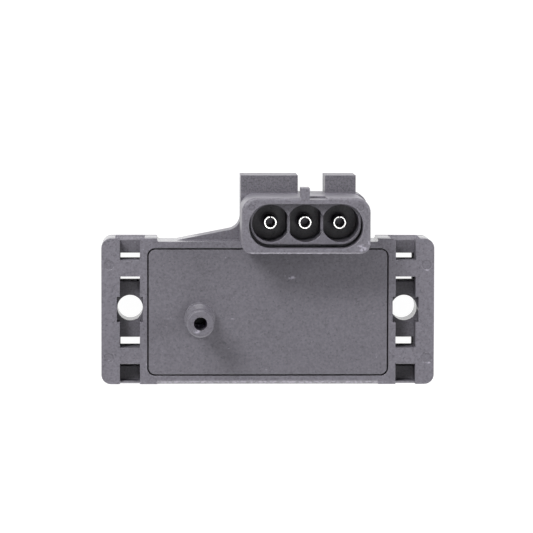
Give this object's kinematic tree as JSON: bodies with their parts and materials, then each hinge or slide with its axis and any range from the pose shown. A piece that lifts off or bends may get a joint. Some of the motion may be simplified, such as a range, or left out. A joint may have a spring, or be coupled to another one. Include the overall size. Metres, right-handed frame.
{
  "type": "manifold absolute pressure sensor",
  "caption": "Box-shaped manifold pressure sensor with slotted mounting ears, a barbed vacuum port and a three-way socket with round terminals.",
  "frame": {"origin": "middle of the line through the two mounting holes, on the flat back face", "axes": "+X along the ears, +Y towards the connector, +Z out of the vacuum port"},
  "size_m": [0.083, 0.0521, 0.034],
  "materials": {
    "housing_plastic": "dark grey glass-filled moulding, fine grain",
    "cover_plastic": "dark grey moulding, slightly smoother",
    "bead_silicone": "cured black silicone",
    "tinned_terminal": "bright tin plating",
    "lead_bronze": "bare bronze strip",
    "solder": "dull solder",
    "board_ceramic": "white alumina",
    "board_bond": "grey silicone",
    "cup_plastic": "black moulding",
    "seal_rubber": "black rubber",
    "pedestal_glass": "clear borosilicate",
    "die_silicon": "polished silicon",
    "gel_silicone": "clear soft gel",
    "chip_plastic": "black epoxy",
    "network_glaze": "green glaze over thick film",
    "capacitor_ceramic": "tan ceramic"
  },
  "bodies": {
    "root": {"housing": "housing_plastic", "port_cover": "cover_plastic", "cover_adhesive": "bead_silicone", "terminal_a": "tinned_terminal", "terminal_b": "tinned_terminal", "terminal_c": "tinned_terminal", "bond_lead_a": "lead_bronze", "bond_lead_b": "lead_bronze", "bond_lead_c": "lead_bronze", "solder_pad_a": "solder", "solder_pad_b": "solder", "solder_pad_c": "solder", "circuit_substrate": "board_ceramic", "substrate_adhesive": "board_bond", "cell_cup": "cup_plastic", "port_seal": "seal_rubber", "glass_pedestal": "pedestal_glass", "silicon_die": "die_silicon", "cell_gel": "gel_silicone", "amplifier_chip": "chip_plastic", "trim_network": "network_glaze", "chip_capacitor_1": "capacitor_ceramic", "chip_capacitor_2": "capacitor_ceramic", "chip_capacitor_3": "capacitor_ceramic"}
  },
  "joints": []
}
